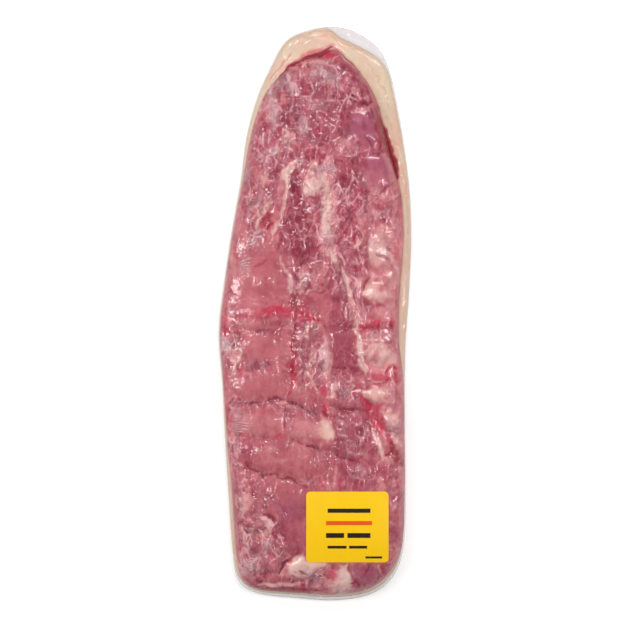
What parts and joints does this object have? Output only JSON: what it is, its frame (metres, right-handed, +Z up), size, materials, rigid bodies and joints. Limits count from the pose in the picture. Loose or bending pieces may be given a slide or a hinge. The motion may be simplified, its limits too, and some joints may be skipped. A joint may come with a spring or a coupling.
{
  "type": "vacuum-packed raw rack of pork ribs",
  "caption": "Raw rack of pork loin ribs, bone side up on its fat layer, sealed in tight clear film with a flat label.",
  "frame": {"origin": "middle of the flat underside, at the bottom of the pack's box", "axes": "+Z up, +Y along the rack towards its narrow end, +X across it towards the backbone side"},
  "size_m": [0.165, 0.49, 0.0356],
  "materials": {
    "packed_meat": "raw rosy meat, wet under tight film",
    "fat": "cream fat, smooth and moist",
    "clear_film": "thin clear film, glossy, with drawn wrinkles",
    "label": "coated yellow paper, semi-gloss"
  },
  "bodies": {
    "root": {"sealed_bag": "packed_meat", "label": "label"}
  },
  "joints": []
}
